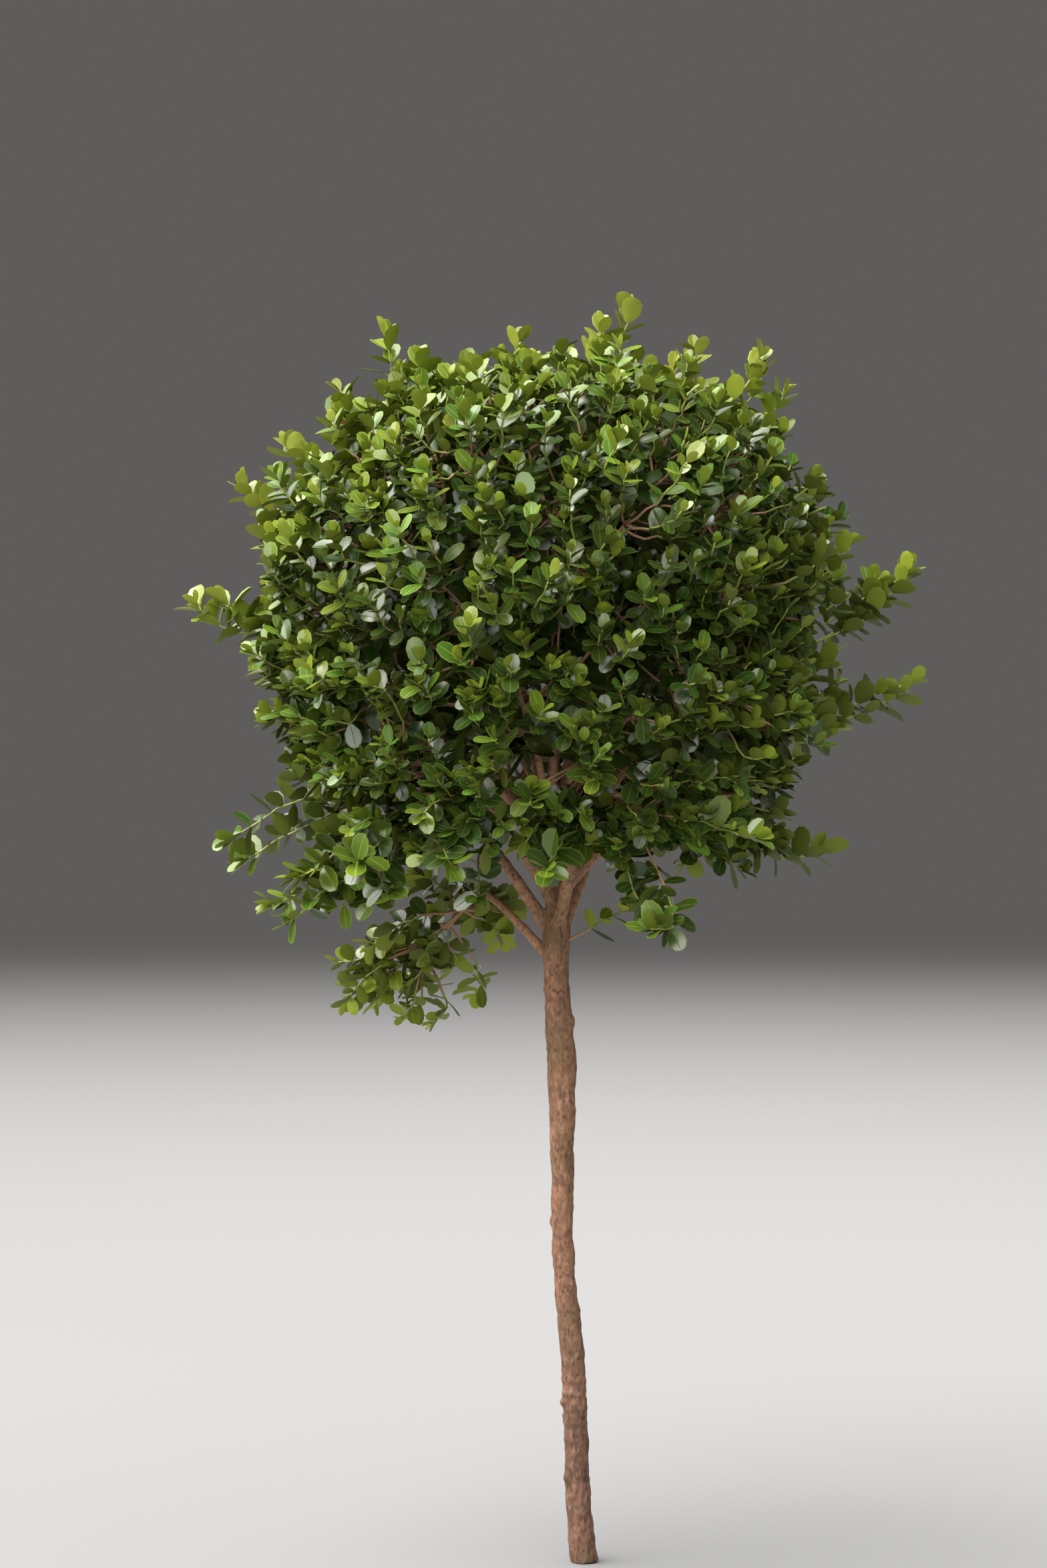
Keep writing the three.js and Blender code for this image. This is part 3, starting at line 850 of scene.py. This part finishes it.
class Shading:
    """A material's nodes, made and linked one by one."""

    def __init__(self, material):
        self.nodes = material.node_tree.nodes
        self.link = material.node_tree.links.new
        self.shader = self.nodes["Principled BSDF"]
        self.place = self.node("ShaderNodeTexCoord").outputs["Object"]

    def node(self, kind, **settings):
        made = self.nodes.new(kind)
        for key, value in settings.items():
            setattr(made, key, value)
        return made

    def attribute(self, name):
        return self.node("ShaderNodeAttribute", attribute_name=name).outputs["Fac"]

    def pattern(self, scale, detail, stretch):
        mapping = self.node("ShaderNodeMapping")
        mapping.inputs["Scale"].default_value = (1, 1, stretch)
        self.link(self.place, mapping.inputs["Vector"])
        texture = self.node("ShaderNodeTexNoise")
        texture.inputs["Scale"].default_value = scale
        texture.inputs["Detail"].default_value = detail
        self.link(mapping.outputs["Vector"], texture.inputs["Vector"])
        return texture.outputs["Fac"]

    def between(self, factor, low, high, easing="LINEAR"):
        """A factor's way from low to high, as 0 to 1."""
        reach = self.node("ShaderNodeMapRange", interpolation_type=easing)
        reach.inputs["From Min"].default_value = low
        reach.inputs["From Max"].default_value = high
        self.link(factor, reach.inputs["Value"])
        return reach.outputs["Result"]

    def mixed(self, factor, first, second, blend="MIX"):
        """A mix of two colours, each a plain one or another node's."""
        mix = self.node("ShaderNodeMix", data_type="RGBA", blend_type=blend)
        self.link(factor, mix.inputs["Factor"])
        for number, colour in ((MIX_FIRST, first), (MIX_SECOND, second)):
            if isinstance(colour, tuple):
                mix.inputs[number].default_value = (*colour, 1)
            else:
                self.link(colour, mix.inputs[number])
        return mix.outputs[MIX_RESULT]


def bark_material():
    """Pale corky bark with painted shade in its hollows and at its foot, darker in its pits, and faintly
    green in patches.
    """
    material = surface("bark", BARK_COLOUR, BARK_FINISH)
    shading = Shading(material)
    sockets = shading.shader.inputs
    factors = {name: shading.pattern(*pattern) for name, pattern in BARK_PATTERNS.items()}
    for name in ("hollow_shade", "girth"):
        factors[name] = shading.attribute(name)
    colour = BARK_COLOUR
    # One of these layers is painted shade in the bark's small hollows
    for name, reach, tone in BARK_LAYERS:
        colour = shading.mixed(shading.between(factors[name], *reach), colour, tone)
    height = shading.node("ShaderNodeSeparateXYZ")
    shading.link(shading.place, height.inputs["Vector"])
    # Painted shade, darker toward the trunk's foot
    foot_shade = shading.between(height.outputs["Z"], *FOOT_SHADE_HEIGHTS)
    shading.link(shading.mixed(foot_shade, colour, FOOT_SHADE, "MULTIPLY"), sockets["Base Color"])
    shading.link(shading.between(factors["grain"], *GRAIN_ROUGHNESS), sockets["Roughness"])
    bump = shading.node("ShaderNodeBump")
    bump.inputs["Strength"].default_value, bump.inputs["Distance"].default_value = GRAIN_BUMP
    shading.link(factors["grain"], bump.inputs["Height"])
    shading.link(bump.outputs["Normal"], sockets["Normal"])
    return material


def wood_lines(masses):
    """Every limb as its points and radii: the trunk, then the boughs with a collar at each root."""
    heights = np.linspace(0, TRUNK_STATIONS[-1, 0], TRUNK_STEPS)
    limbs = [trunk_line(heights)]
    for mass in masses:
        share = np.linspace(0, 1, len(mass.bough))
        radii = mass.radius + (BOUGH_TIP_RADIUS - mass.radius) * share
        radii = radii * (1 + COLLAR_SWELL * np.exp(-share / COLLAR_SHARE))
        limbs.append((mass.bough, radii))
    return limbs


def remeshed(piece):
    """The piece's limbs grown into one skin, with soft forks."""
    skin = piece.modifiers.new("skin", "REMESH")
    skin.mode = "VOXEL"
    skin.voxel_size = VOXEL * METRES
    soft = piece.modifiers.new("soft", "SMOOTH")
    soft.factor = SKIN_SMOOTHING
    soft.iterations = SKIN_SMOOTHING_ROUNDS
    graph = bpy.context.evaluated_depsgraph_get()
    mesh = bpy.data.meshes.new_from_object(piece.evaluated_get(graph))
    piece.modifiers.clear()
    piece.data = mesh
    return mesh


def vectors_of(rows, name):
    """One vector for each vertex or other row of a mesh, as an array."""
    values = np.zeros(len(rows) * 3, dtype=np.float32)
    rows.foreach_get(name, values)
    return values.reshape(-1, 3)


def distances_from(lines, points):
    """How far each point is from the lines' nearest point."""
    tree = kdtree.KDTree(sum(len(line) for line in lines))
    for line in lines:
        for place in line:
            tree.insert(place, 0)
    tree.balance()
    return np.array([tree.find(point)[2] for point in points])


def bumps(point, size):
    """Soft noise at a point, from -1 to 1, in bumps of a width and height."""
    x, y, z = point
    width, height = size
    return noise.noise(Vector((x / width, y / width, z / height)))


def bark_relief(point, girth):
    """How far the bark stands out at a point, and how deep its small hollows are, which sets the painted
    shade in them.
    """
    strength = min(max((girth - RELIEF_GIRTH) / RELIEF_GIRTH_SPAN, LEAST_RELIEF), 1)
    near_knot = math.exp(-(((point[2] - KNOT_HEIGHT) / KNOT_SPREAD) ** 2))
    rings = (RING_RELIEF + KNOT_RELIEF * near_knot) * bumps(point, RING_SIZE)
    fine = PLATE_RELIEF * bumps(point, PLATE_SIZE) + GRAIN_RELIEF * bumps(point, GRAIN_SIZE)
    return strength * (bumps(point, LUMP_SIZE) + fine + rings), -strength * fine


def nub_relief(points):
    """Stubs and scars that stand out of the trunk."""
    total = np.zeros(len(points))
    for height, azimuth, size, rise in TRUNK_NUBS:
        middle, radius = trunk_at(height)
        centre = middle + direction(azimuth, 0) * radius
        total += rise * np.exp(-(((points - centre) / size) ** 2).sum(1))
    return total


def make_wood(masses):
    """Trunk and boughs as one skin with the bark's relief."""
    limbs = wood_lines(masses)
    vertices, triangles = joined([tubes([line], [radii], LIMB_SIDES) for line, radii in limbs])
    one_material = np.zeros(len(triangles), dtype=int)
    wood = make_object("trunk_and_boughs", vertices, triangles, [bark_material()], one_material)
    mesh = remeshed(wood)
    points = vectors_of(mesh.vertices, "co") / METRES
    normals = vectors_of(mesh.vertex_normals, "vector")
    girth = distances_from([line for line, _ in limbs], points)
    relief, hollow_shade = np.array([bark_relief(point, thick) for point, thick in zip(points, girth)]).T
    points = points + normals * (relief + nub_relief(points))[:, None]
    points[:, 2] = np.maximum(points[:, 2], 0)
    mesh.vertices.foreach_set("co", (points * METRES).astype(np.float32).ravel())
    # The hollows' depth is kept for the painted shade in them
    for name, values in (("hollow_shade", hollow_shade), ("girth", girth)):
        mesh.attributes.new(name, "FLOAT", "POINT").data.foreach_set("value", values.astype(np.float32))
    mesh.polygons.foreach_set("use_smooth", np.ones(len(mesh.polygons), dtype=bool))
    mesh.update()
    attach(wood, "root")
    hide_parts("trunk", *[f"bough_{mass.label}" for mass in masses])


def make_twigs(mass, materials):
    """A mass's stem, its twigs and its shoots, which are brown at their roots and then green."""
    groups = [
        ([mass.stem], (BOUGH_TIP_RADIUS, STEM_TIP_RADIUS), STEM_SIDES, 1),
        (mass.twigs, TWIG_RADII, TWIG_SIDES, 1),
        ([shoot.line for shoot in mass.shoots], SHOOT_RADII, SHOOT_SIDES, SHOOT_BROWN_SHARE),
    ]
    parts = []
    for lines, (thick, thin), sides, brown_share in groups:
        if not lines:
            continue
        steps = len(lines[0])
        radii = np.tile(np.linspace(thick, thin, steps), (len(lines), 1))
        share = np.repeat(np.arange(steps), 2 * sides) / (steps - 1)
        green = np.tile(share >= brown_share, len(lines))
        parts.append((*tubes(lines, radii, sides), green.astype(int)))
    vertices, triangles, index = joined(parts)
    piece = make_object(f"twigs_{mass.label}", vertices, triangles, materials, index)
    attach(piece, "root")


def make_leaves(mass, templates, materials):
    """A mass's leaves in one piece, the full ones outside and plain ones inside."""
    parts = []
    for inner, template in zip((False, True), templates):
        shoots = [shoot for shoot in mass.shoots if shoot.inner == inner]
        leaves = [leaf for shoot in shoots for leaf in leaves_on(shoot, mass.drooping)]
        if leaves:
            parts.append(leaf_mesh(leaves, template))
    vertices, triangles, index, outline = joined(parts)
    piece = make_object(f"leaves_{mass.label}", vertices, triangles, materials, index)
    sharpen(piece.data, outline)
    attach(piece, "root")
    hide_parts(f"foliage_{mass.label}")


def make_tree():
    masses = make_masses()
    add_twigs(masses)
    add_shoots(masses)
    add_long_shoots(masses)
    add_fork_twig(masses)
    add_spray(masses)
    make_wood(masses)
    templates = [
        leaf_template(LEAF_STATIONS, LEAF_COLUMNS, PALE_STRIPS),
        leaf_template(PLAIN_LEAF_STATIONS, PLAIN_LEAF_COLUMNS, ()),
    ]
    leaf_surfaces = leaf_materials()
    twig_surfaces = twig_materials()
    for mass in masses:
        make_twigs(mass, twig_surfaces)
        make_leaves(mass, templates, leaf_surfaces)


def make_floor():
    """A pale floor with painted shade that darkens it far from the tree, so that it fades into the backdrop.
    """
    mesh = bpy.data.meshes.new("floor")
    turns = np.arange(FLOOR_SIDES) * 2 * math.pi / FLOOR_SIDES
    edge = [(FLOOR_RADIUS * math.cos(turn), FLOOR_RADIUS * math.sin(turn), 0) for turn in turns]
    mesh.from_pydata(edge, [], [tuple(range(FLOOR_SIDES))])
    material = surface("floor", FLOOR_NEAR, FLOOR_FINISH)
    shading = Shading(material)
    distance = shading.node("ShaderNodeVectorMath", operation="LENGTH")
    shading.link(shading.place, distance.inputs["Vector"])
    # Painted shade, darker with distance from the tree
    floor_shade = shading.between(distance.outputs["Value"], *FLOOR_SHADE_FADE, "SMOOTHERSTEP")
    shading.link(shading.mixed(floor_shade, FLOOR_NEAR, FLOOR_FAR_SHADE), shading.shader.inputs["Base Color"])
    mesh.materials.append(material)
    floor = in_scene("floor", mesh)


def make_light(name, azimuth, elevation, width, strength, colour, glints):
    """A soft light from far off."""
    light = bpy.data.lights.new(name, "SUN")
    light.angle = math.radians(width)
    light.energy = strength
    light.color = colour
    lamp = in_scene(name, light)
    lamp.rotation_euler = Vector(-direction(azimuth, elevation)).to_track_quat("-Z", "Y").to_euler()
    lamp.visible_glossy = glints


def make_studio():
    make_floor()
    for light in LIGHTS:
        make_light(*light)
    world = bpy.data.worlds.new("studio")
    world.use_nodes = True
    backdrop = world.node_tree.nodes["Background"]
    backdrop.inputs["Color"].default_value = (*BACKDROP_COLOUR, 1)
    backdrop.inputs["Strength"].default_value = BACKDROP_STRENGTH
    bpy.context.scene.world = world
    bpy.context.scene.view_settings.view_transform = "Standard"


def make_camera():
    """The photograph's view: level, and square to the tree."""
    lens = bpy.data.cameras.new("camera")
    lens.lens = CAMERA_LENS
    lens.sensor_width = CAMERA_SENSOR
    camera = in_scene("camera", lens)
    camera.location = CAMERA_PLACE
    camera.rotation_euler = (math.pi / 2, 0, 0)
    bpy.context.scene.camera = camera


make_camera()
make_tree()
make_studio()
